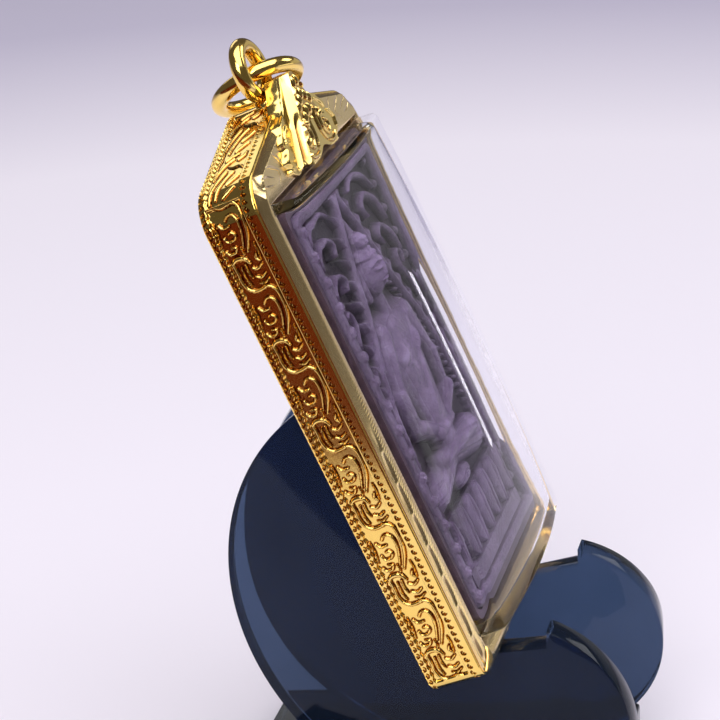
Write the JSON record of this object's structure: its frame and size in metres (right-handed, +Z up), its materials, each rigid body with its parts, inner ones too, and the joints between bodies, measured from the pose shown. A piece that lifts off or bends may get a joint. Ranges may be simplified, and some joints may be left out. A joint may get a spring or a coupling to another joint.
{
  "type": "thai buddha amulet pendant on display stand",
  "caption": "Rectangular gold amulet case with a gabled head, clear domed cover, relief tablet and loose ring, leaning on a smoked acrylic stand.",
  "frame": {"origin": "on the floor, under the middle of the whole part's box", "axes": "+Z up, the case and its cover face -Y and lean back towards +Y, +X is to the right as seen from the front"},
  "size_m": [0.0286, 0.0378, 0.0705],
  "materials": {
    "gold": "polished yellow gold, cast and bright-cut",
    "ring_gold": "polished yellow gold wire",
    "clear_acrylic": "clear polished acrylic",
    "tablet": "dark grey-violet pressed powder, satin",
    "smoked_acrylic": "smoked blue-black translucent acrylic, polished"
  },
  "bodies": {
    "root": {"case_frame": "gold", "clear_cover": "clear_acrylic", "amulet": "tablet", "jump_ring": "ring_gold", "stand_plate_left": "smoked_acrylic", "stand_plate_right": "smoked_acrylic", "stand_base": "smoked_acrylic"}
  },
  "joints": []
}
